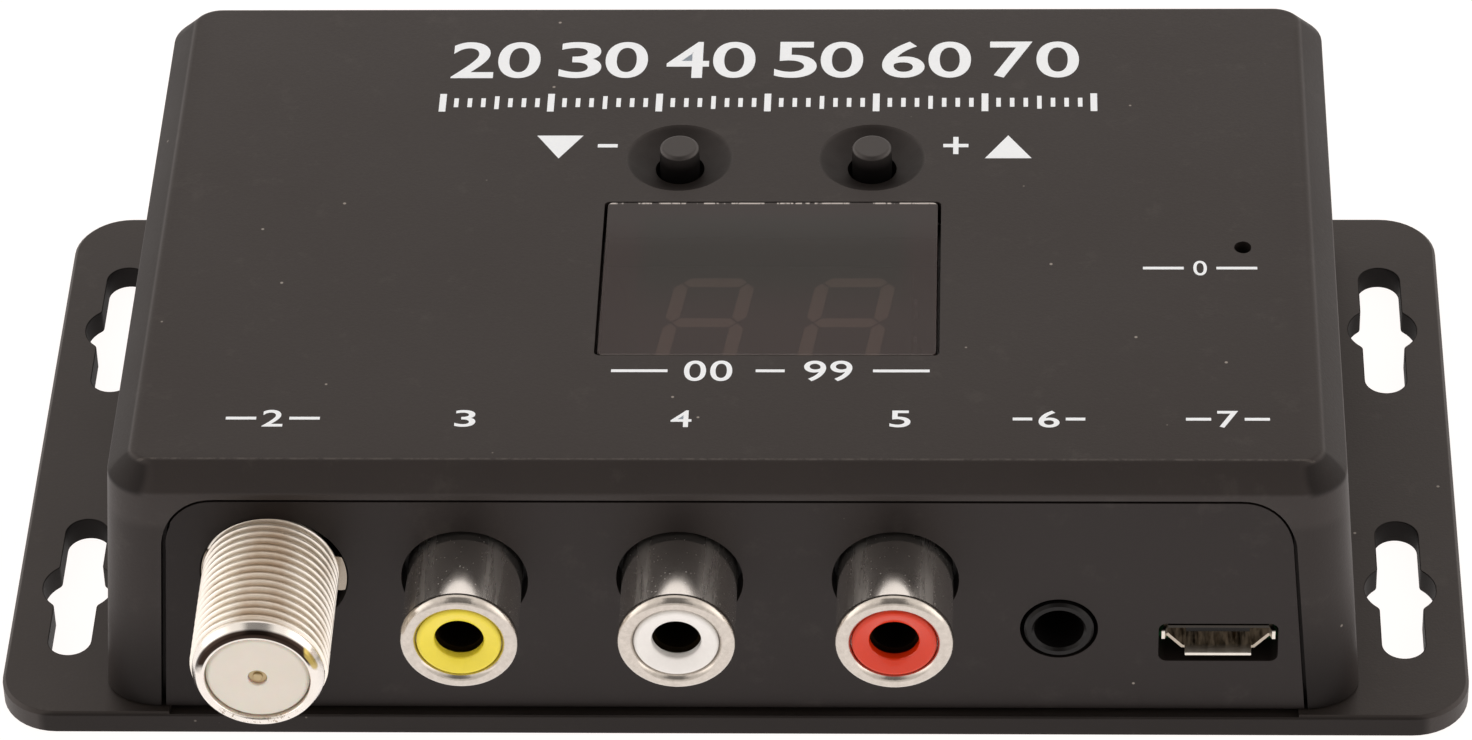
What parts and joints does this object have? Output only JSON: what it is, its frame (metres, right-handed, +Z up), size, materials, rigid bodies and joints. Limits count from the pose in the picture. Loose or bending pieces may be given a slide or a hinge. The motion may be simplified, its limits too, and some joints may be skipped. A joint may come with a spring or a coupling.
{
  "type": "rf modulator",
  "caption": "Low bevelled box that puts video and sound on an aerial lead: slotted mounting ears, sockets along the front, channel buttons and a digit display in the roof.",
  "frame": {"origin": "middle of the base plate, on its underside", "axes": "+X to the right as the sockets are seen from the front, +Y from the socket panel to the back, +Z up out of the roof"},
  "size_m": [0.1082, 0.0694, 0.0256],
  "materials": {
    "case_plastic": "fine-grained matt warm black",
    "panel_plastic": "smooth satin warm black",
    "smoked_plastic": "smoked reddish brown, satin",
    "zinc_steel": "bright zinc plate",
    "board": "green solder mask",
    "tinned_steel": "tin plate",
    "nickel": "bright nickel plate",
    "milky_plastic": "translucent milky",
    "brass": "plain",
    "yellow_plastic": "gloss",
    "white_plastic": "gloss",
    "red_plastic": "gloss",
    "black_plastic": "satin black",
    "green_lens": "tinted clear",
    "ferrite": "dark ferrite",
    "ceramic": "tan ceramic"
  },
  "bodies": {
    "case": {"base_plate": "case_plastic", "top_cover": "case_plastic", "front_panel": "panel_plastic", "display_window": "smoked_plastic", "case_screws": "zinc_steel", "circuit_board": "board", "rf_shield_can": "tinned_steel", "rf_shield_lid": "tinned_steel", "modulator_chip": "black_plastic", "aerial_connector_shell": "nickel", "aerial_connector_insulator": "milky_plastic", "aerial_connector_contact": "brass", "video_socket_sleeve": "nickel", "video_socket_insert": "yellow_plastic", "video_socket_contact": "brass", "video_socket_housing": "black_plastic", "left_audio_socket_sleeve": "nickel", "left_audio_socket_insert": "white_plastic", "left_audio_socket_contact": "brass", "left_audio_socket_housing": "black_plastic", "right_audio_socket_sleeve": "nickel", "right_audio_socket_insert": "red_plastic", "right_audio_socket_contact": "brass", "right_audio_socket_housing": "black_plastic", "remote_jack_body": "black_plastic", "remote_jack_terminals": "tinned_steel", "power_socket_shell": "nickel", "power_socket_tongue": "black_plastic", "power_socket_contacts": "brass", "display_module": "white_plastic", "display_segments": "milky_plastic", "display_pins": "tinned_steel", "display_spacers": "black_plastic", "channel_down_switch_base": "black_plastic", "channel_down_switch_plate": "tinned_steel", "channel_down_switch_dome": "tinned_steel", "channel_up_switch_base": "black_plastic", "channel_up_switch_plate": "tinned_steel", "channel_up_switch_dome": "tinned_steel", "switch_terminals": "tinned_steel", "power_led": "green_lens", "led_leads": "tinned_steel", "led_spacer": "black_plastic", "microcontroller": "black_plastic", "crystal": "tinned_steel", "voltage_regulator": "black_plastic", "storage_inductor": "ferrite", "electrolytic_capacitors": "black_plastic", "chip_capacitors": "ceramic", "chip_resistors": "black_plastic"},
    "channel_down_button": {"channel_down_button": "case_plastic"},
    "channel_up_button": {"channel_up_button": "case_plastic"}
  },
  "joints": [
    {"name": "channel_down_press", "type": "slide", "parent": "case", "child": "channel_down_button", "axis": [0, 0, -1], "range_m": [0, 0.00025], "stiffness_N_per_m": 4000, "deforming": ["channel_down_switch_dome"]},
    {"name": "channel_up_press", "type": "slide", "parent": "case", "child": "channel_up_button", "axis": [0, 0, -1], "range_m": [0, 0.00025], "stiffness_N_per_m": 4000, "deforming": ["channel_up_switch_dome"]}
  ]
}
